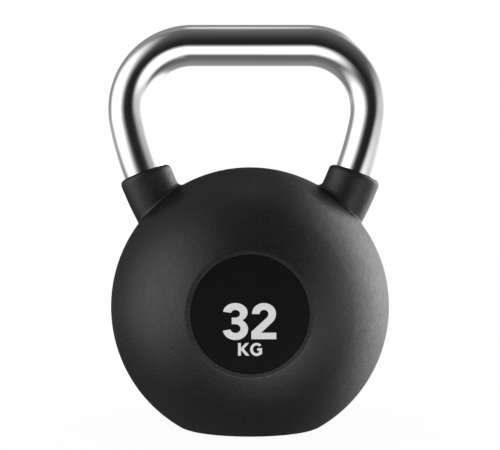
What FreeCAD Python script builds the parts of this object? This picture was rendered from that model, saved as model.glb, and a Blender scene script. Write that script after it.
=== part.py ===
import FreeCAD, Part
import math
import os

# Kettlebell of 32 kg. A cast-iron ball carries the weight. A round steel bar, bent to a loop and
# chromed, stands on two machined seats in the ball and is welded round each foot. A rubber jacket
# is moulded over the ball and the welds, and rises round each leg of the bar as a collar. A printed
# disc is stuck in a shallow recess at the front.
# Millimetres, +Z up, front towards -Y. The origin is the middle of the flat base.

V = FreeCAD.Vector

# Outside of the jacket
BALL_RADIUS = 111.45
BALL_CENTRE_Z = 97.0
BASE_EDGE_RADIUS = 11.8

# Centreline of the handle bar, from the top down: a straight grip, a round corner, a short bend
# past the vertical, then a long slow bend that leans each leg more and more inwards
BAR_DIAMETER = 33.0
GRIP_Z = 306.7
GRIP_HALF_LENGTH = 46.6
CORNER_RADIUS = 51.0
BEND_RADIUS = 60.5
BEND_LEAN = 11.3
LEG_RADIUS = 251.6
FOOT_LEAN = 32.0
FOOT_CHAMFER = 2.5

# Collars of the jacket, round the legs
COLLAR_RADIUS = 21.3
COLLAR_TOP_LEAN = 20.7
COLLAR_FOOT_LEAN = 31.0
COLLAR_TOP_ROUNDING = 4.2
COLLAR_ROOT_ROUNDING = 4.2

# Label and its recess at the front of the ball
RECESS_FLOOR_Y = -98.4
RECESS_FLOOR_RADIUS = 45.6
RECESS_WALL_ANGLE = 45.0
RECESS_LIP_RADIUS = 1.6
ADHESIVE_RADIUS = 42.6
ADHESIVE_THICKNESS = 0.2
LABEL_RADIUS = 43.4
LABEL_THICKNESS = 1.2
LABEL_EDGE_CHAMFER = 0.3

# Cast-iron core
CORE_RADIUS = 96.6
CORE_BASE_Z = 13.0
CORE_FRONT_Y = -87.0
CORE_FLAT_ROUNDING = 4.0

# Machined seats in the core, and the weld beads on them
SEAT_RADIUS = 24.5
WELD_LEG = 7.0

BALL_CENTRE = V(0, 0, BALL_CENTRE_Z)
BAR_RADIUS = BAR_DIAMETER / 2
FAR = 3 * BALL_RADIUS


# ---------------------------------------------------------------- centreline of the bar

def arc_point(start, radius, start_lean, lean):
    """Where an arc of the right leg that begins at start reaches this inward lean, in degrees."""
    first = math.radians(start_lean)
    last = math.radians(lean)
    x = start.x - radius * (math.cos(first) - math.cos(last))
    z = start.z - radius * (math.sin(last) - math.sin(first))
    return V(x, 0, z)


GRIP_END = V(GRIP_HALF_LENGTH, 0, GRIP_Z)
CORNER_END = arc_point(GRIP_END, CORNER_RADIUS, -90, 0)
BEND_END = arc_point(CORNER_END, BEND_RADIUS, 0, BEND_LEAN)
FOOT = arc_point(BEND_END, LEG_RADIUS, BEND_LEAN, FOOT_LEAN)


def arc_of(start, radius, start_lean, end_lean):
    """Arc edge of the right leg between two leans."""
    middle = arc_point(start, radius, start_lean, (start_lean + end_lean) / 2)
    end = arc_point(start, radius, start_lean, end_lean)
    return Part.Arc(start, middle, end).toShape()


def leg_piece(top_lean, low_lean):
    """The part of the long slow bend between two leans, as a path."""
    top = arc_point(BEND_END, LEG_RADIUS, BEND_LEAN, top_lean)
    return Part.Wire(arc_of(top, LEG_RADIUS, top_lean, low_lean))


def mirrored(shape):
    """The same shape on the left side."""
    return shape.mirror(V(0, 0, 0), V(1, 0, 0))


def bar_path():
    """The whole centreline, from the foot of the left leg to the foot of the right one."""
    corner = arc_of(GRIP_END, CORNER_RADIUS, -90, 0)
    bend = arc_of(CORNER_END, BEND_RADIUS, 0, BEND_LEAN)
    leg = arc_of(BEND_END, LEG_RADIUS, BEND_LEAN, FOOT_LEAN)
    grip = Part.makeLine(V(-GRIP_HALF_LENGTH, 0, GRIP_Z), GRIP_END)
    right = [corner, bend, leg]
    left = [mirrored(edge) for edge in right]
    return Part.Wire(Part.sortEdges(left + [grip] + right)[0])


def up_the_leg(lean):
    """Direction of the right leg, upwards, where it has this lean."""
    angle = math.radians(lean)
    return V(math.sin(angle), 0, math.cos(angle))


def round_pipe(path, start, along, radius):
    """A round solid along a path, its surface parted at the sides that face +X and -X."""
    across = along.cross(V(0, 1, 0)).normalize() * radius
    front = Part.Arc(start + across, start + V(0, -radius, 0), start - across)
    back = Part.Arc(start - across, start + V(0, radius, 0), start + across)
    profile = Part.Wire([front.toShape(), back.toShape()])
    return path.makePipeShell([profile], True, False)


# ---------------------------------------------------------------- pieces

def steel_handle():
    """Bent bar, with a chamfer round each foot that lets the weld run under its edge."""
    left_foot = V(-FOOT.x, 0, FOOT.z)
    along = V(-up_the_leg(FOOT_LEAN).x, 0, up_the_leg(FOOT_LEAN).z)
    bar = round_pipe(bar_path(), left_foot, along, BAR_RADIUS)
    feet = []
    for edge in bar.Edges:
        near_foot = min((edge.CenterOfMass - FOOT).Length, (edge.CenterOfMass - left_foot).Length)
        if near_foot < BAR_RADIUS:
            feet.append(edge)
    return bar.makeChamfer(FOOT_CHAMFER, feet)


def profile_of(edges):
    return Part.Face(Part.Wire(edges))


def turned(face, centre, axis):
    return face.revolve(centre, axis, 360)


def cast_iron_core():
    """Ball with a flat at the base and behind the label, and a seat for each leg."""
    ball = Part.makeSphere(CORE_RADIUS, BALL_CENTRE)
    below = Part.makeBox(2 * FAR, 2 * FAR, FAR, V(-FAR, -FAR, CORE_BASE_Z - FAR))
    before = Part.makeBox(2 * FAR, FAR, 2 * FAR, V(-FAR, CORE_FRONT_Y - FAR, -FAR))
    ball = ball.cut([below, before])
    flat_edges = [edge for edge in ball.Edges if is_round_a_flat(edge)]
    ball = ball.makeFillet(CORE_FLAT_ROUNDING, flat_edges)
    seat = Part.makeCylinder(SEAT_RADIUS, FAR, FOOT, up_the_leg(FOOT_LEAN))
    return ball.cut([seat, mirrored(seat)])


def is_circle(edge):
    return not edge.Degenerated and isinstance(edge.Curve, Part.Circle)


def is_round_a_flat(edge):
    """True for the circles where the core's two flats meet its ball."""
    box = edge.BoundBox
    return is_circle(edge) and min(box.ZLength, box.YLength) < 0.01


def right_weld(handle):
    """Fillet weld with equal legs round the right foot; its root fills the foot's chamfer."""
    inner = BAR_RADIUS - 2 * FOOT_CHAMFER
    toe = V(BAR_RADIUS + WELD_LEG, 0, 0)
    crown = V(BAR_RADIUS - FOOT_CHAMFER, 0, WELD_LEG + FOOT_CHAMFER)
    profile = Part.makePolygon([V(inner, 0, 0), toe, crown, V(inner, 0, crown.z), V(inner, 0, 0)])
    bead = turned(Part.Face(profile), V(0, 0, 0), V(0, 0, 1))
    bead.rotate(V(0, 0, 0), V(0, 1, 0), FOOT_LEAN)
    bead.translate(FOOT)
    return bead.cut(handle)


def jacket_ball():
    """Ball with a flat base and a rounded base edge."""
    ring = math.sqrt((BALL_RADIUS - BASE_EDGE_RADIUS) ** 2 - (BALL_CENTRE_Z - BASE_EDGE_RADIUS) ** 2)
    out = math.atan2(ring, BALL_CENTRE_Z - BASE_EDGE_RADIUS)
    edge_centre = V(ring, 0, BASE_EDGE_RADIUS)
    flat_end = V(ring, 0, 0)
    ball_start = BALL_CENTRE + V(math.sin(out), 0, -math.cos(out)) * BALL_RADIUS
    edge_middle = edge_centre + V(math.sin(out / 2), 0, -math.cos(out / 2)) * BASE_EDGE_RADIUS
    side = V(BALL_RADIUS, 0, BALL_CENTRE_Z)
    top = V(0, 0, BALL_CENTRE_Z + BALL_RADIUS)
    edges = [
        Part.makeLine(V(0, 0, 0), flat_end),
        Part.Arc(flat_end, edge_middle, ball_start).toShape(),
        Part.Arc(ball_start, side, top).toShape(),
        Part.makeLine(top, V(0, 0, 0)),
    ]
    return turned(profile_of(edges), V(0, 0, 0), V(0, 0, 1))


def right_collar():
    """Collar round the right leg, with its top edge rounded over."""
    path = leg_piece(COLLAR_TOP_LEAN, COLLAR_FOOT_LEAN)
    top = arc_point(BEND_END, LEG_RADIUS, BEND_LEAN, COLLAR_TOP_LEAN)
    collar = round_pipe(path, top, up_the_leg(COLLAR_TOP_LEAN) * -1, COLLAR_RADIUS)
    rim = [e for e in collar.Edges if is_circle(e) and (e.CenterOfMass - top).Length < COLLAR_RADIUS]
    return collar.makeFillet(COLLAR_TOP_ROUNDING, rim)


def label_recess():
    """What the recess takes out of the jacket: a flat floor with a sloping wall round it."""
    depth = BALL_RADIUS + RECESS_FLOOR_Y
    mouth_radius = RECESS_FLOOR_RADIUS + depth / math.tan(math.radians(RECESS_WALL_ANGLE))
    floor = BALL_CENTRE + V(0, RECESS_FLOOR_Y, 0)
    return Part.makeCone(RECESS_FLOOR_RADIUS, mouth_radius, depth, floor, V(0, -1, 0))


def on_ball(point):
    return abs((point - BALL_CENTRE).Length - BALL_RADIUS) < 0.01


def rubber_jacket(core, handle, welds):
    """Moulded jacket: its outside, less everything that it is moulded round."""
    collar = right_collar()
    outside = jacket_ball().fuse([collar, mirrored(collar)])
    outside = outside.cut(label_recess())
    lip = [edge for edge in outside.Edges if is_recess_lip(edge)]
    outside = outside.makeFillet(RECESS_LIP_RADIUS, lip)
    roots = [edge for edge in outside.Edges if is_collar_root(edge)]
    outside = outside.makeFillet(COLLAR_ROOT_ROUNDING, roots)
    return outside.cut([core, handle] + welds)


def is_recess_lip(edge):
    """True for the circle where the recess opens in the ball."""
    centre = edge.BoundBox.Center
    points = [vertex.Point for vertex in edge.Vertexes]
    return all(on_ball(p) for p in points) and centre.y < -BALL_RADIUS / 2


def is_collar_root(edge):
    """True for the curves where a collar springs from the ball, in front and behind."""
    if edge.Degenerated:
        return False
    ends_on_ball = on_ball(edge.firstVertex().Point) and on_ball(edge.lastVertex().Point)
    centre = edge.CenterOfMass
    return ends_on_ball and abs(centre.y) > 1 and centre.z > BALL_CENTRE_Z + BALL_RADIUS / 2


def label_disc():
    """Printed disc, its front edge eased."""
    back = RECESS_FLOOR_Y - ADHESIVE_THICKNESS
    disc = Part.makeCylinder(LABEL_RADIUS, LABEL_THICKNESS, V(0, back, BALL_CENTRE_Z), V(0, -1, 0))
    front = [edge for edge in disc.Edges if edge.BoundBox.YMax < back - LABEL_THICKNESS / 2]
    return disc.makeChamfer(LABEL_EDGE_CHAMFER, front)


def label_adhesive():
    start = V(0, RECESS_FLOOR_Y, BALL_CENTRE_Z)
    return Part.makeCylinder(ADHESIVE_RADIUS, ADHESIVE_THICKNESS, start, V(0, -1, 0))


# ---------------------------------------------------------------- assembly

def build():
    core = cast_iron_core()
    handle = steel_handle()
    weld = right_weld(handle)
    other_weld = mirrored(weld)
    jacket = rubber_jacket(core, handle, [weld, other_weld])
    pieces = {
        "cast_iron_core": core,
        "steel_handle": handle,
        "left_handle_weld": other_weld,
        "right_handle_weld": weld,
        "rubber_jacket": jacket,
        "label_adhesive": label_adhesive(),
        "label_disc": label_disc(),
    }
    os.makedirs("parts", exist_ok=True)
    for name, shape in pieces.items():
        shape.exportStep("parts/" + name + ".step")


build()
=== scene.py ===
import math

import bmesh
import bpy
from mathutils import Matrix, Vector


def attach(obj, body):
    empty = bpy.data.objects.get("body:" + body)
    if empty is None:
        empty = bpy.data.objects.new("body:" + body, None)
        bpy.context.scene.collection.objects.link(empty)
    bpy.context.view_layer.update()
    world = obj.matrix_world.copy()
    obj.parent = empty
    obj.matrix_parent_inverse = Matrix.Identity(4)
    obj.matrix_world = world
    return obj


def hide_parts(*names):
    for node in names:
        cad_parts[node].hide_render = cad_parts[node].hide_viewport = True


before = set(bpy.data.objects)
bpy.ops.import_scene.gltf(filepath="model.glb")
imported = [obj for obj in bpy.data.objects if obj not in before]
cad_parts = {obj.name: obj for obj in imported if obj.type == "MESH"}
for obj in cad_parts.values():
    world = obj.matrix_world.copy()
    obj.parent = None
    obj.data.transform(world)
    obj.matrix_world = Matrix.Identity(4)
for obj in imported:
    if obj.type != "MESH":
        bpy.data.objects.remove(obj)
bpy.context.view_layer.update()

# ---- Iron ball
# The weight itself: grey iron poured in a sand mould, then machined flat under the base, behind
# the label and at the two seats of the handle. It keeps its CAD shape, and the jacket hides it.


def new_finish(name):
    """An empty finish, its shader, and the node that says where on the object a point is."""
    finish = bpy.data.materials.new(name)
    finish.use_nodes = True
    nodes = finish.node_tree.nodes
    return finish, nodes["Principled BSDF"], nodes.new("ShaderNodeTexCoord")


# What the noise seldom leaves
NOISE_SPAN = (0.3, 0.7)


def speckle(finish, place, size, detail=2.0, stretch=(1, 1, 1)):
    """Noise whose blotches are about size metres across, longer where stretch is below 1."""
    nodes, links = finish.node_tree.nodes, finish.node_tree.links
    mapping = nodes.new("ShaderNodeMapping")
    mapping.inputs["Scale"].default_value = stretch
    noise = nodes.new("ShaderNodeTexNoise")
    noise.inputs["Scale"].default_value = 0.5 / size
    noise.inputs["Detail"].default_value = detail
    links.new(place.outputs["Object"], mapping.inputs["Vector"])
    links.new(mapping.outputs["Vector"], noise.inputs["Vector"])
    return noise.outputs["Fac"]


def between(finish, source, low, high, socket):
    """Feeds a socket with a number that goes from low to high as the noise does."""
    spread = finish.node_tree.nodes.new("ShaderNodeMapRange")
    spread.inputs["From Min"].default_value = NOISE_SPAN[0]
    spread.inputs["From Max"].default_value = NOISE_SPAN[1]
    spread.inputs["To Min"].default_value = low
    spread.inputs["To Max"].default_value = high
    finish.node_tree.links.new(source, spread.inputs["Value"])
    finish.node_tree.links.new(spread.outputs["Result"], socket)


def colours(finish, source, dark, light, socket):
    """Feeds a colour socket with a colour between dark and light, where the noise goes."""
    ramp = finish.node_tree.nodes.new("ShaderNodeValToRGB")
    for element, position, colour in zip(ramp.color_ramp.elements, NOISE_SPAN, (dark, light)):
        element.position = position
        element.color = (*colour, 1)
    finish.node_tree.links.new(source, ramp.inputs["Fac"])
    finish.node_tree.links.new(ramp.outputs["Color"], socket)


def relief(finish, source, height, shader):
    """Raises the surface by up to height metres where the noise is high."""
    bump = finish.node_tree.nodes.new("ShaderNodeBump")
    bump.inputs["Distance"].default_value = height
    finish.node_tree.links.new(source, bump.inputs["Height"])
    finish.node_tree.links.new(bump.outputs["Normal"], shader.inputs["Normal"])


cast_iron, shader, place = new_finish("cast_iron")
shader.inputs["Metallic"].default_value = 0.7
colours(cast_iron, speckle(cast_iron, place, 0.006), (0.05, 0.047, 0.045), (0.11, 0.105, 0.1),
        shader.inputs["Base Color"])
between(cast_iron, speckle(cast_iron, place, 0.004), 0.5, 0.75, shader.inputs["Roughness"])
relief(cast_iron, speckle(cast_iron, place, 0.0009, 4.0), 0.0002, shader)
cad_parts["cast_iron_core"].data.materials[0] = cast_iron

# ---- Handle
# One round steel bar, bent at the grip's ends and then slowly inwards, polished and chromed. Its
# feet are chamfered, stand square on the ball's seats, and take the weld all round.

BAR_RADIUS = 0.0165
GRIP_HEIGHT = 0.3067
GRIP_HALF_LENGTH = 0.0466
# Each bend's radius, its turn in degrees, and how many steps it is made in
HANDLE_BENDS = ((0.051, 90.0, 64), (0.0605, 11.3, 8), (0.2516, 20.7, 24))
FOOT_CHAMFER = 0.0025
BAR_SIDES = 96
TO_THE_SIDE = Matrix.Rotation(math.radians(90), 4, "Y")
# Corners closer than this are one corner, and edges sharper than this stay crisp
TOUCHING = 0.00001
SHARP_FROM = math.radians(32)


def only(kind, found):
    """The corners, or the edges, among what an operator gives back."""
    return [item for item in found if isinstance(item, kind)]


def grey(level):
    """A colour with no hue."""
    return (level, level, level)


def new_ring(mesh, sides, radius, place):
    """Starts a mesh, or a new part of one, with a round of edges."""
    verts = bmesh.ops.create_circle(mesh, segments=sides, radius=radius, matrix=place)["verts"]
    return list(dict.fromkeys(edge for vert in verts for edge in vert.link_edges))


def drawn_out(mesh, edges, step):
    """Extrudes a ring of edges, moves the new ring by step, and returns its edges."""
    new = bmesh.ops.extrude_edge_only(mesh, edges=edges)["geom"]
    bmesh.ops.translate(mesh, verts=only(bmesh.types.BMVert, new), vec=step)
    return only(bmesh.types.BMEdge, new)


def bent_on(mesh, edges, centre, angle, steps):
    """Carries a ring of edges round a bend whose axis points along +Y."""
    verts = list(dict.fromkeys(vert for edge in edges for vert in edge.verts))
    spun = bmesh.ops.spin(mesh, geom=edges + verts, cent=centre, axis=(0, 1, 0),
                          angle=math.radians(angle), steps=steps)
    return only(bmesh.types.BMEdge, spun["geom_last"])


def new_piece(name, mesh, finish, body, slot, *stands_for):
    """Turns a finished bmesh into a smooth shaded piece that rides on a body."""
    data = bpy.data.meshes.new(name)
    mesh.to_mesh(data)
    mesh.free()
    data.shade_smooth()
    data.set_sharp_from_angle(angle=SHARP_FROM)
    data.materials.append(finish)
    piece = bpy.data.objects.new(name, data)
    bpy.context.scene.collection.objects.link(piece)
    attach(piece, body)
    if stands_for:
        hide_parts(*stands_for)
    return piece


handle = bmesh.new()
at_middle = Matrix.Translation((0, 0, GRIP_HEIGHT)) @ TO_THE_SIDE
ring = new_ring(handle, BAR_SIDES, BAR_RADIUS, at_middle)
ring = drawn_out(handle, ring, (GRIP_HALF_LENGTH, 0, 0))
here = Vector((GRIP_HALF_LENGTH, 0, GRIP_HEIGHT))
lean = math.radians(-90)
for radius, turn, steps in HANDLE_BENDS:
    centre = here - radius * Vector((math.cos(lean), 0, -math.sin(lean)))
    ring = bent_on(handle, ring, centre, turn, steps)
    lean += math.radians(turn)
    here = centre + radius * Vector((math.cos(lean), 0, -math.sin(lean)))
bmesh.ops.edgeloop_fill(handle, edges=ring)
bmesh.ops.bevel(handle, geom=ring, offset=FOOT_CHAMFER, segments=1, profile=0.5, affect="EDGES",
                material=-1)
whole = handle.verts[:] + handle.edges[:] + handle.faces[:]
bmesh.ops.mirror(handle, geom=whole, merge_dist=TOUCHING, axis="X")
bmesh.ops.recalc_face_normals(handle, faces=handle.faces)

chrome, shader, place = new_finish("polished_chrome")
shader.inputs["Metallic"].default_value = 1.0
colours(chrome, speckle(chrome, place, 0.02), grey(0.95), grey(0.98), shader.inputs["Base Color"])
between(chrome, speckle(chrome, place, 0.012), 0.05, 0.07, shader.inputs["Roughness"])
handle = new_piece("handle_bar", handle, chrome, "root", "chrome_bar", "steel_handle")

# ---- Handle welds
# A fillet weld runs round each foot of the handle and joins it to the ball. It is left as laid,
# rippled and a little tinted by the heat, because the jacket covers it.

weld_steel, shader, place = new_finish("weld_steel")
shader.inputs["Metallic"].default_value = 1.0
colours(weld_steel, speckle(weld_steel, place, 0.005), (0.33, 0.27, 0.2), (0.45, 0.46, 0.5),
        shader.inputs["Base Color"])
between(weld_steel, speckle(weld_steel, place, 0.003), 0.3, 0.55, shader.inputs["Roughness"])
relief(weld_steel, speckle(weld_steel, place, 0.0015, 1.0, (1, 1, 0.4)), 0.0004, shader)
for name in ("left_handle_weld", "right_handle_weld"):
    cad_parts[name].data.materials[0] = weld_steel

# ---- Rubber jacket
# Black rubber moulded over the ball and the welds in one shot. It rises round each leg as a
# collar, has a shallow round recess in front for the label, and is hollow where the iron is.

BALL_RADIUS = 0.11145
BALL_CENTRE = Vector((0, 0, 0.097))
BASE_EDGE_RADIUS = 0.0118
# Round the label: how far in front of the ball's middle the recess floor and the flat ring lie,
# the recess's radius and the bevel of its edge, and the ring's rounded shoulder
RECESS_FLOOR = 0.0984
FRONT_FLAT = 0.1003
SOCKET_RADIUS = 0.04345
SOCKET_EDGE = 0.0001
FRONT_ROUNDING = 0.005
# The ball's curve in front, up to the shoulder, and the tighter turn that leads into it
FRONT_CURVE = 0.115
TURN_IN_RADIUS = 0.06
TURN_IN_FROM = math.radians(45)
TURN_IN_TO = math.radians(42)
# The collars, the roundings of their tops and roots, and the bores that the bar goes through
COLLAR_RADIUS = 0.0213
COLLAR_TOP_LEAN = math.radians(20.7)
COLLAR_ROUNDING = 0.0042
ROOT_INSIDE = 0.0042
ROOT_OUTSIDE = 0.002
BORE_RADIUS = 0.01652
LEG_RADIUS = HANDLE_BENDS[-1][0]
LEG_CENTRE = centre
COLLAR_SIDES = 120
ROUNDING_STEPS = 8
COLLAR_STEPS = 10
BORE_STEPS = 8
# The hollow that the iron and the welds fill
WELD_REACH = 0.0236
WELD_TOP_LEAN = math.radians(29.8)
WELD_TOE_LEAN = math.radians(31.9)
HOLLOW_RADIUS = 0.0967
HOLLOW_BASE = 0.0841
HOLLOW_FRONT = 0.0871


def beside_leg(lean, reach, turn):
    """The point this far out from the right leg's middle line, at one lean of the leg and a turn
    round it from its outer side."""
    out = LEG_RADIUS + reach * math.cos(turn)
    aside = Vector((out * math.cos(lean), reach * math.sin(turn), -out * math.sin(lean)))
    return LEG_CENTRE + aside


def turn_of(point):
    """How far round the right leg a point is."""
    aside = point - LEG_CENTRE
    return math.atan2(aside.y, math.hypot(aside.x, aside.z) - LEG_RADIUS)


def lean_at_ball(radius, reach, turn):
    """The lean at which that line along the leg comes this near to the ball's centre."""
    out = LEG_RADIUS + reach * math.cos(turn)
    gap = LEG_CENTRE - BALL_CENTRE
    square = radius ** 2 - gap.length_squared - out ** 2 - (reach * math.sin(turn)) ** 2
    return math.acos(square / (2 * out * gap.length)) - math.atan2(gap.z, gap.x)


def next_ring(mesh, ring, place):
    """Extrudes a ring of edges round the leg, and puts each new corner where place says."""
    new = bmesh.ops.extrude_edge_only(mesh, edges=ring)["geom"]
    for vert in only(bmesh.types.BMVert, new):
        vert.co = place(turn_of(vert.co))
    return only(bmesh.types.BMEdge, new)


def root_rounding(turn):
    """The radius of the hollow round the collar's foot, tightest on the collar's outer side."""
    return ROOT_INSIDE + (ROOT_OUTSIDE - ROOT_INSIDE) * (1 + math.cos(turn)) / 2


def root_of_collar(share):
    """The hollow round the collar's foot, from the collar at share 0 to the ball at share 1."""
    def place(turn):
        rounding = root_rounding(turn)
        lean = lean_at_ball(BALL_RADIUS + rounding, COLLAR_RADIUS + rounding, turn)
        middle = beside_leg(lean, COLLAR_RADIUS + rounding, turn)
        to_collar = beside_leg(lean, COLLAR_RADIUS, turn) - middle
        return middle + to_collar.slerp(BALL_CENTRE - middle, share) * rounding
    return place


def down_collar(share):
    """The collar's side, from under its rounded top at share 0 to the hollow at share 1."""
    def place(turn):
        top = COLLAR_TOP_LEAN + COLLAR_ROUNDING / LEG_RADIUS
        rounding = root_rounding(turn)
        foot = lean_at_ball(BALL_RADIUS + rounding, COLLAR_RADIUS + rounding, turn)
        return beside_leg(top + (foot - top) * share, COLLAR_RADIUS, turn)
    return place


# Shorter edges than this close up, where a plane cuts close to a corner
SLIVER = 0.0005


def cut_ball(radius, fineness, openings, flats):
    """A ball of small triangles with round openings, and with flats closed by one face each."""
    mesh = bmesh.new()
    bmesh.ops.create_icosphere(mesh, subdivisions=fineness, radius=radius)
    for towards, distance in openings + flats:
        whole = mesh.verts[:] + mesh.edges[:] + mesh.faces[:]
        cut = bmesh.ops.bisect_plane(mesh, geom=whole, plane_co=towards * distance,
                                     plane_no=towards, clear_outer=True)["geom_cut"]
        if (towards, distance) in flats:
            bmesh.ops.edgeloop_fill(mesh, edges=only(bmesh.types.BMEdge, cut))
        else:
            for vert in only(bmesh.types.BMVert, cut):
                vert.co = vert.co.normalized() * radius
    bmesh.ops.remove_doubles(mesh, verts=mesh.verts, dist=SLIVER)
    bmesh.ops.translate(mesh, verts=mesh.verts, vec=BALL_CENTRE)
    data = bpy.data.meshes.new("cut_ball")
    mesh.to_mesh(data)
    mesh.free()
    return data


def turned(mesh, points, axis, steps):
    """Joins points by edges and spins them right round an axis through the ball's middle."""
    verts = [mesh.verts.new(BALL_CENTRE + Vector(point)) for point in points]
    edges = [mesh.edges.new(pair) for pair in zip(verts, verts[1:])]
    bmesh.ops.spin(mesh, geom=verts + edges, cent=BALL_CENTRE, axis=axis,
                   angle=math.radians(360), steps=steps, use_merge=True)


def bridged(mesh, towards, wall, within=37):
    """Closes the gap between the two open rings on one side of the ball, in the wall that lies
    between two distances from its middle, and within an angle of that side in degrees."""
    def is_there(edge):
        middle = (edge.verts[0].co + edge.verts[1].co) / 2 - BALL_CENTRE
        aside = math.degrees(middle.angle(towards))
        return edge.is_boundary and aside < within and wall[0] < middle.length < wall[1]
    bmesh.ops.bridge_loops(mesh, edges=[edge for edge in mesh.edges if is_there(edge)])


jacket = bmesh.new()
top = Matrix.Translation(beside_leg(COLLAR_TOP_LEAN, 0, 0))
top @= Matrix.Rotation(COLLAR_TOP_LEAN, 4, "Y")
mouth = new_ring(jacket, COLLAR_SIDES, BORE_RADIUS, top)
ring = mouth
for step in range(ROUNDING_STEPS + 1):
    angle = math.radians(90 * step / ROUNDING_STEPS)
    lean = COLLAR_TOP_LEAN + COLLAR_ROUNDING * (1 - math.cos(angle)) / LEG_RADIUS
    reach = COLLAR_RADIUS - COLLAR_ROUNDING * (1 - math.sin(angle))
    ring = next_ring(jacket, ring, lambda turn: beside_leg(lean, reach, turn))
for step in range(COLLAR_STEPS):
    ring = next_ring(jacket, ring, down_collar((step + 1) / COLLAR_STEPS))
for step in range(ROUNDING_STEPS):
    ring = next_ring(jacket, ring, root_of_collar((step + 1) / ROUNDING_STEPS))
ring = mouth
for step in range(BORE_STEPS):
    lean = COLLAR_TOP_LEAN + (WELD_TOP_LEAN - COLLAR_TOP_LEAN) * (step + 1) / BORE_STEPS
    ring = next_ring(jacket, ring, lambda turn: beside_leg(lean, BORE_RADIUS, turn))
ring = next_ring(jacket, ring, lambda turn: beside_leg(WELD_TOE_LEAN, WELD_REACH, turn))
bmesh.ops.mirror(jacket, geom=jacket.verts[:] + jacket.edges[:] + jacket.faces[:], axis="X")

# Where the collars and the bores leave the ball
TO_COLLAR = (beside_leg(lean_at_ball(BALL_RADIUS, 0, 0), 0, 0) - BALL_CENTRE).normalized()
TO_WELD = (beside_leg(lean_at_ball(HOLLOW_RADIUS, 0, 0), 0, 0) - BALL_CENTRE).normalized()
TO_OTHER_COLLAR = Vector((-TO_COLLAR.x, 0, TO_COLLAR.z))
TO_OTHER_WELD = Vector((-TO_WELD.x, 0, TO_WELD.z))
FORWARD = Vector((0, -1, 0))
DOWN = Vector((0, 0, -1))
# The openings cut in the ball and in the hollow, and the rings that close the two large ones
COLLAR_OPENING = 0.0295
WELD_OPENING = 0.0255
FRONT_OPENING = 0.0836
FRONT_RING = 0.081
FRONT_WITHIN = 51
FRONT_SIDES = 180
BASE_OPENING = 0.0645
BASE_RING = 0.061
BASE_SIDES = 144
OUTER_WALL = (0.105, 0.12)
HOLLOW_WALL = (0.08, 0.105)


def plane_for(radius, opening):
    """How far out a plane lies that cuts a circle of this radius from the ball."""
    return math.sqrt(radius ** 2 - opening ** 2)


collar_cut = plane_for(BALL_RADIUS, COLLAR_OPENING)
weld_cut = plane_for(HOLLOW_RADIUS, WELD_OPENING)
jacket.from_mesh(cut_ball(BALL_RADIUS, 6, [
    (TO_COLLAR, collar_cut),
    (TO_OTHER_COLLAR, collar_cut),
    (FORWARD, plane_for(BALL_RADIUS, FRONT_OPENING)),
    (DOWN, plane_for(BALL_RADIUS, BASE_OPENING)),
], []))
jacket.from_mesh(cut_ball(HOLLOW_RADIUS, 5, [
    (TO_WELD, weld_cut),
    (TO_OTHER_WELD, weld_cut),
], [(FORWARD, HOLLOW_FRONT), (DOWN, HOLLOW_BASE)]))
bridged(jacket, TO_COLLAR, OUTER_WALL)
bridged(jacket, TO_OTHER_COLLAR, OUTER_WALL)
bridged(jacket, TO_WELD, HOLLOW_WALL)
bridged(jacket, TO_OTHER_WELD, HOLLOW_WALL)


def curve(middle, radius, start, end, steps):
    """Points along a curve, as how far out from a flat's axis and how far along it."""
    turns = [start + (end - start) * step / steps for step in range(steps + 1)]
    return [(middle[0] + radius * math.sin(t), middle[1] + radius * math.cos(t)) for t in turns]


def shoulder(flat, rounding, steps, middle, radius):
    """The rounding between a flat and the curve of that middle and radius."""
    reach = middle[0] + math.sqrt((radius - rounding) ** 2 - (flat - rounding - middle[1]) ** 2)
    turn = math.atan2(reach - middle[0], flat - rounding - middle[1])
    return curve((reach, flat - rounding), rounding, turn, 0.0, steps)


def middle_of_next(middle, radius, new_radius, turn):
    """The middle of the curve that another one goes over into, without a corner, at that turn."""
    change = radius - new_radius
    return middle[0] + change * math.sin(turn), middle[1] + change * math.cos(turn)


# Towards the front the ball turns in a little, and goes on a little flatter up to the shoulder
turn_in = middle_of_next((0.0, 0.0), BALL_RADIUS, TURN_IN_RADIUS, TURN_IN_FROM)
front_middle = middle_of_next(turn_in, TURN_IN_RADIUS, FRONT_CURVE, TURN_IN_TO)
rim = shoulder(FRONT_FLAT, FRONT_ROUNDING, 6, front_middle, FRONT_CURVE)
rim_turn = math.asin((rim[0][0] - front_middle[0]) / FRONT_CURVE)
front = [(FRONT_RING, plane_for(BALL_RADIUS, FRONT_RING))]
front += curve(turn_in, TURN_IN_RADIUS, TURN_IN_FROM, TURN_IN_TO, 3)[:-1]
front += curve(front_middle, FRONT_CURVE, TURN_IN_TO, rim_turn, 12)[:-1]
front += rim + [
    (SOCKET_RADIUS + SOCKET_EDGE, FRONT_FLAT),
    (SOCKET_RADIUS, FRONT_FLAT - SOCKET_EDGE),
    (SOCKET_RADIUS, RECESS_FLOOR),
    (0.0, RECESS_FLOOR),
]
turned(jacket, [(out, -along, 0) for out, along in front], FORWARD, FRONT_SIDES)
bridged(jacket, FORWARD, OUTER_WALL, FRONT_WITHIN)

base = [(BASE_RING, plane_for(BALL_RADIUS, BASE_RING))]
base += shoulder(BALL_CENTRE.z, BASE_EDGE_RADIUS, 10, (0.0, 0.0), BALL_RADIUS)
base += [(0.0, BALL_CENTRE.z)]
turned(jacket, [(out, 0, -along) for out, along in base], DOWN, BASE_SIDES)
bridged(jacket, DOWN, OUTER_WALL)
bmesh.ops.remove_doubles(jacket, verts=jacket.verts, dist=TOUCHING)
bmesh.ops.recalc_face_normals(jacket, faces=jacket.faces)

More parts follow.
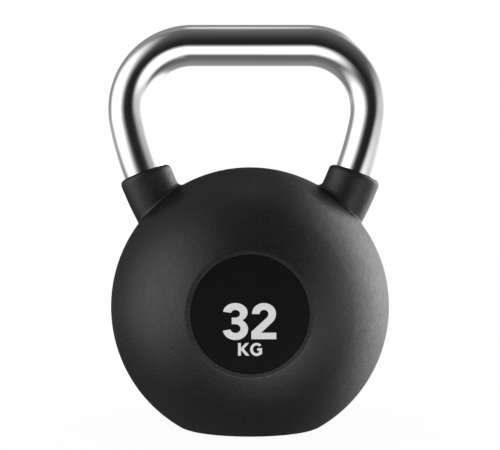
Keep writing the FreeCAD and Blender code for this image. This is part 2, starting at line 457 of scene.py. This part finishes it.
rubber, shader, place = new_finish("black_rubber")
stipple = 0.0009
colours(rubber, speckle(rubber, place, stipple), grey(0.005), grey(0.011),
        shader.inputs["Base Color"])
between(rubber, speckle(rubber, place, 0.003), 0.36, 0.44, shader.inputs["Roughness"])
relief(rubber, speckle(rubber, place, stipple, 3.0), 0.00023, shader)
jacket = new_piece("jacket", jacket, rubber, "root", "black_rubber", "rubber_jacket")

# ---- Adhesive and label
# A disc of satin black plastic, its front edge eased, on a round of double-sided film in the
# recess. Both keep their CAD shapes.

film, shader, place = new_finish("adhesive_film")
colours(film, speckle(film, place, 0.004), (0.55, 0.53, 0.46), (0.66, 0.64, 0.57),
        shader.inputs["Base Color"])
between(film, speckle(film, place, 0.002), 0.3, 0.5, shader.inputs["Roughness"])
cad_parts["label_adhesive"].data.materials[0] = film

label_black, shader, place = new_finish("satin_black")
colours(label_black, speckle(label_black, place, 0.008), grey(0.0032), grey(0.0038),
        shader.inputs["Base Color"])
between(label_black, speckle(label_black, place, 0.006), 0.28, 0.31, shader.inputs["Roughness"])
shader.inputs["Specular IOR Level"].default_value = 0.15
relief(label_black, speckle(label_black, place, 0.0005), 0.00001, shader)
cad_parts["label_disc"].data.materials[0] = label_black

# ---- Figures on the label
# The weight, screen printed in pale grey ink: plain bold numerals, and the unit under them. The
# ink lies a few hundredths of a millimetre proud. Outlines are in millimetres from the disc's
# middle.

INK_BACK = -0.09979
INK_FRONT = -0.09984


def bow(centre, wide, high, start, end):
    """Points along part of an ellipse, between two angles in degrees."""
    count = max(2, round(abs(end - start) / 6))
    angles = [math.radians(start + (end - start) * i / count) for i in range(count + 1)]
    return [(centre[0] + wide * math.cos(a), centre[1] + high * math.sin(a)) for a in angles]


THREE = (
    bow((-10.7, 1.3), 8.9, 6.9, 175, -54) + bow((-10.6, -10.9), 9.2, 7.8, 56, -172)
    + bow((-10.6, -10.4), 3.7, 3.2, -169, 90) + [(-13.3, -7.2), (-13.3, -2.4)]
    + bow((-10.6, 0.4), 3.3, 2.8, -90, 165)
)
TWO = (
    [(1.5, 0.2)] + bow((10.2, 0.6), 8.7, 7.6, 180, 0) + bow((10.2, 0.6), 8.7, 9.0, -6, -48)
    + [(8.1, -13.4), (19.1, -13.4), (19.1, -18.1), (1.0, -18.1), (1.0, -12.7)]
    + bow((10.2, 0.4), 3.2, 3.6, -50, -6) + bow((10.2, 0.4), 3.2, 2.8, 0, 180) + [(7.0, 0.2)]
)
LETTER_K = [
    (-8.7, -20.9), (-6.6, -20.9), (-6.6, -24.6), (-3.3, -20.9), (-0.7, -20.9), (-4.5, -25.2),
    (-0.4, -30.1), (-3.0, -30.1), (-6.6, -26.0), (-6.6, -30.1), (-8.7, -30.1),
]
LETTER_G = (
    bow((4.8, -25.6), 4.7, 4.8, 42, 310)
    + [(8.8, -28.8), (8.8, -24.6), (5.3, -24.6), (5.3, -26.6), (6.7, -26.6)]
    + bow((4.8, -25.5), 2.6, 2.9, 319, 42)
)

figures = bmesh.new()
for outline in (THREE, TWO, LETTER_K, LETTER_G):
    places = [(x / 1000, INK_BACK, BALL_CENTRE.z + z / 1000) for x, z in outline]
    figures.faces.new([figures.verts.new(place) for place in places]).normal_update()
bmesh.ops.triangulate(figures, faces=figures.faces)
raised = bmesh.ops.extrude_face_region(figures, geom=figures.faces[:])["geom"]
bmesh.ops.translate(figures, verts=only(bmesh.types.BMVert, raised),
                    vec=(0, INK_FRONT - INK_BACK, 0))
bmesh.ops.recalc_face_normals(figures, faces=figures.faces)

ink, shader, place = new_finish("pale_ink")
colours(ink, speckle(ink, place, 0.001), grey(0.65), grey(0.71), shader.inputs["Base Color"])
between(ink, speckle(ink, place, 0.0008), 0.45, 0.6, shader.inputs["Roughness"])
figures = new_piece("label_figures", figures, ink, "root", "label_print")

# ---- Floor and room
# The object stands on a pale painted floor in a plain white room, which light it evenly from all
# round. The floor is white where it is looked at, and keeps the object's shadow.

FLOOR_RADIUS = 6.0
FLOOR_WHITENESS = 0.96


def worked_out(finish, operation, *values):
    """A sum fed with numbers or with other nodes' outputs."""
    node = finish.node_tree.nodes.new("ShaderNodeMath")
    node.operation = operation
    for socket, value in zip(node.inputs, values):
        if isinstance(value, (int, float)):
            socket.default_value = value
        else:
            finish.node_tree.links.new(value, socket)
    return node.outputs["Value"]


def shared(finish, share, first, second):
    """Shows the second shader in the place of the first, by that share."""
    nodes, links = finish.node_tree.nodes, finish.node_tree.links
    mixed = nodes.new("ShaderNodeMixShader")
    links.new(share, mixed.inputs["Fac"])
    links.new(first.outputs["BSDF"], mixed.inputs[1])
    links.new(second.outputs[0], mixed.inputs[2])
    links.new(mixed.outputs["Shader"], nodes["Material Output"].inputs["Surface"])


def put_up(name, mesh, finish):
    """Turns a finished bmesh into a part of the studio."""
    data = bpy.data.meshes.new(name)
    mesh.to_mesh(data)
    mesh.free()
    data.materials.append(finish)
    thing = bpy.data.objects.new(name, data)
    bpy.context.scene.collection.objects.link(thing)
    return thing


floor_paint, shader, place = new_finish("floor_paint")
shader.inputs["Base Color"].default_value = (0.97, 0.97, 0.97, 1)
shader.inputs["Roughness"].default_value = 1.0
seen = floor_paint.node_tree.nodes.new("ShaderNodeLightPath").outputs
looked_at = worked_out(floor_paint, "MAXIMUM", seen["Is Camera Ray"], seen["Is Glossy Ray"])
looked_at = worked_out(floor_paint, "MAXIMUM", looked_at, seen["Is Transmission Ray"])
white = floor_paint.node_tree.nodes.new("ShaderNodeEmission")
shared(floor_paint, worked_out(floor_paint, "MULTIPLY", looked_at, FLOOR_WHITENESS), shader, white)
floor = bmesh.new()
bmesh.ops.create_circle(floor, cap_ends=True, segments=64, radius=FLOOR_RADIUS)
floor = put_up("floor", floor, floor_paint)
floor.visible_glossy = False

world = bpy.data.worlds.new("white_room")
bpy.context.scene.world = world
world.use_nodes = True
world.node_tree.nodes["Background"].inputs["Color"].default_value = (1, 1, 1, 1)
world.node_tree.nodes["Background"].inputs["Strength"].default_value = 1.0

# ---- Black lining, painted shade
# Reflections leave the object out, so that the polish shows the room alone. A black lining stands
# in for it there, just outside the rubber and just inside the chrome, and paints shade into the
# reflections. It is seen by reflections that leave the surface at a low angle, and so run on
# before they meet it, which paints shade along the rubber's rim where nothing real shades it. It
# is also seen by reflections that set out from the object close by, as at the foot of a collar,
# where it stands in for the dark rubber's own reflection. Light from far off passes through it.

LINING_GAP = 0.0003
LOW_ANGLE_RUN = (0.00045, 0.0013)
CLOSE_BY = 0.065
LINED_UP_TO = 0.255


def soft_step(finish, value, start, end):
    """0 before start and 1 past end, with a soft change between them."""
    node = finish.node_tree.nodes.new("ShaderNodeMapRange")
    node.interpolation_type = "SMOOTHSTEP"
    node.inputs["From Min"].default_value = start
    node.inputs["From Max"].default_value = end
    finish.node_tree.links.new(value, node.inputs["Value"])
    return node.outputs["Result"]


# This black is painted shade, seen only in reflections on the rubber and the chrome
painted_shade_black, shader, place = new_finish("painted_shade_black")
shader.inputs["Base Color"].default_value = (0.008, 0.008, 0.008, 1)
shader.inputs["Roughness"].default_value = 1.0
shader.inputs["Specular IOR Level"].default_value = 0.0
run = painted_shade_black.node_tree.nodes.new("ShaderNodeLightPath").outputs["Ray Length"]
steep = worked_out(painted_shade_black, "SUBTRACT", 1, soft_step(painted_shade_black, run, *LOW_ANGLE_RUN))
far_off = worked_out(painted_shade_black, "GREATER_THAN", run, CLOSE_BY)
clear = painted_shade_black.node_tree.nodes.new("ShaderNodeBsdfTransparent")
shared(painted_shade_black, worked_out(painted_shade_black, "MAXIMUM", steep, far_off), shader, clear)

lining = bmesh.new()
for piece, gap in ((jacket, LINING_GAP), (handle, -LINING_GAP)):
    copy = bmesh.new()
    copy.from_mesh(piece.data)
    for vert in copy.verts:
        vert.co += vert.normal * gap
    whole = copy.verts[:] + copy.edges[:] + copy.faces[:]
    bmesh.ops.bisect_plane(copy, geom=whole, plane_co=(0, 0, LINED_UP_TO), plane_no=(0, 0, 1),
                           clear_outer=True)
    data = bpy.data.meshes.new("lining_part")
    copy.to_mesh(data)
    copy.free()
    lining.from_mesh(data)
lining = put_up("painted_shade_lining", lining, painted_shade_black)
shown = ("cast_iron_core", "left_handle_weld", "right_handle_weld", "label_adhesive", "label_disc")
for piece in [handle, jacket, figures] + [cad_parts[name] for name in shown]:
    piece.visible_glossy = False

# ---- Tent of grey cloths
# Grey cloths hang far away all round, and leave soft openings for the light. Only polish and gloss
# show them.

TENT_RADIUS = 12.0
# Each light is a soft ellipse: the direction of its middle, across from straight ahead of the
# object and up from the horizon, half its width and height, its tilt, how much of it is soft edge,
# and its brightness. Angles are in degrees.
LIGHTS = (
    (-73.5, 11, 29, 33, -10, 0.95, 1.88),    # the wide gap on the left
    (-165, -4, 107, 7, 0, 0.9, 0.16),        # where the cloths end above the floor
    (130.5, 8.5, 27.5, 26.5, -60, 0.85, 5),  # the brightest gap, on the right and behind
    (111, 9.5, 36, 48, 15, 0.4, 0.84),       # thin cloth round it
    (44.5, -20.5, 50, 28, 60, 0.35, 0.49),   # the floor on the right, which that gap lights
    (10, -32, 33, 18, 10, 0.95, 2.05),       # the floor in front
    (183, 71.5, 18.5, 5.5, 3, 0.65, 0.68),   # a slit overhead
    (168, 29, 100, 59, 26, 0.15, 0.12),      # thin cloth behind
    (140, -14, 108, 44, -24, 0.5, 0.12),     # the floor behind
)
# The cloths are darkest ahead of the object, and lighter the further round from there
DARKEST = (23, 2.5)
DARK_LEVEL = 0.016
FAR_LEVEL = 0.14
DARK_EDGE = (24.5, 95.5)
LEAST_LEVEL = 0.003

cloth, shader, spot = new_finish("grey_cloth")
nodes, links = cloth.node_tree.nodes, cloth.node_tree.links


def vector_work(operation, source):
    """A vector node of that operation, fed with source."""
    node = nodes.new("ShaderNodeVectorMath")
    node.operation = operation
    links.new(source, node.inputs[0])
    return node


def light(across_at, up_at, wide, high, tilt, soft, brightness):
    """A light in the tent, as a node's output."""
    aside = worked_out(cloth, "SUBTRACT", across, across_at)
    place = nodes.new("ShaderNodeCombineXYZ")
    links.new(worked_out(cloth, "WRAP", aside, 180.0, -180.0), place.inputs["X"])
    links.new(worked_out(cloth, "SUBTRACT", up, up_at), place.inputs["Y"])
    ellipse = nodes.new("ShaderNodeMapping")
    ellipse.vector_type = "TEXTURE"
    ellipse.inputs["Rotation"].default_value = (0, 0, math.radians(tilt))
    ellipse.inputs["Scale"].default_value = (wide, high, 1)
    links.new(place.outputs["Vector"], ellipse.inputs["Vector"])
    reach = vector_work("LENGTH", ellipse.outputs["Vector"]).outputs["Value"]
    inside = worked_out(cloth, "SUBTRACT", 1, soft_step(cloth, reach, 1 - soft, 1 + soft))
    return worked_out(cloth, "MULTIPLY", inside, brightness)


def towards(across_at, up_at):
    """The direction at these angles across from straight ahead and up, in degrees."""
    turn, rise = math.radians(across_at), math.radians(up_at)
    return math.sin(turn) * math.cos(rise), -math.cos(turn) * math.cos(rise), math.sin(rise)


direction = vector_work("NORMALIZE", spot.outputs["Object"]).outputs["Vector"]
parts = nodes.new("ShaderNodeSeparateXYZ")
links.new(direction, parts.inputs["Vector"])
ahead = worked_out(cloth, "MULTIPLY", parts.outputs["Y"], -1)
across = worked_out(cloth, "DEGREES", worked_out(cloth, "ARCTAN2", parts.outputs["X"], ahead))
up = worked_out(cloth, "DEGREES", worked_out(cloth, "ARCSINE", parts.outputs["Z"]))

from_darkest = vector_work("DOT_PRODUCT", direction)
from_darkest.inputs[1].default_value = towards(*DARKEST)
from_darkest = worked_out(cloth, "ARCCOSINE", from_darkest.outputs["Value"])
away = soft_step(cloth, worked_out(cloth, "DEGREES", from_darkest), *DARK_EDGE)
level = worked_out(cloth, "MULTIPLY_ADD", away, FAR_LEVEL - DARK_LEVEL, DARK_LEVEL)
for values in LIGHTS:
    level = worked_out(cloth, "ADD", level, light(*values))
glow = nodes.new("ShaderNodeEmission")
links.new(worked_out(cloth, "MAXIMUM", level, LEAST_LEVEL), glow.inputs["Strength"])
links.new(glow.outputs["Emission"], nodes["Material Output"].inputs["Surface"])
nodes.remove(shader)
# Only reflections meet the tent, so it isn't searched for as a lamp is
cloth.cycles.emission_sampling = "NONE"

tent = bmesh.new()
bmesh.ops.create_icosphere(tent, subdivisions=5, radius=TENT_RADIUS)
bmesh.ops.reverse_faces(tent, faces=tent.faces)
tent = put_up("grey_cloths", tent, cloth)
tent.data.shade_smooth()
for unseen in (lining, tent):
    unseen.visible_camera = False
    unseen.visible_diffuse = False
    unseen.visible_transmission = False
    unseen.visible_shadow = False

# ---- Camera
# It stands about a metre in front of the object, level with the middle of its height.

CAMERA_PLACE = (0.0, -1.0242, 0.162)
SENSOR_WIDTH = 36.0
LENS = 91.44

camera = bpy.data.objects.new("camera", bpy.data.cameras.new("camera"))
bpy.context.scene.collection.objects.link(camera)
camera.location = CAMERA_PLACE
camera.rotation_euler = (math.radians(90), 0, 0)
camera.data.sensor_width = SENSOR_WIDTH
camera.data.lens = LENS
bpy.context.scene.camera = camera
bpy.context.scene.view_settings.view_transform = "Standard"
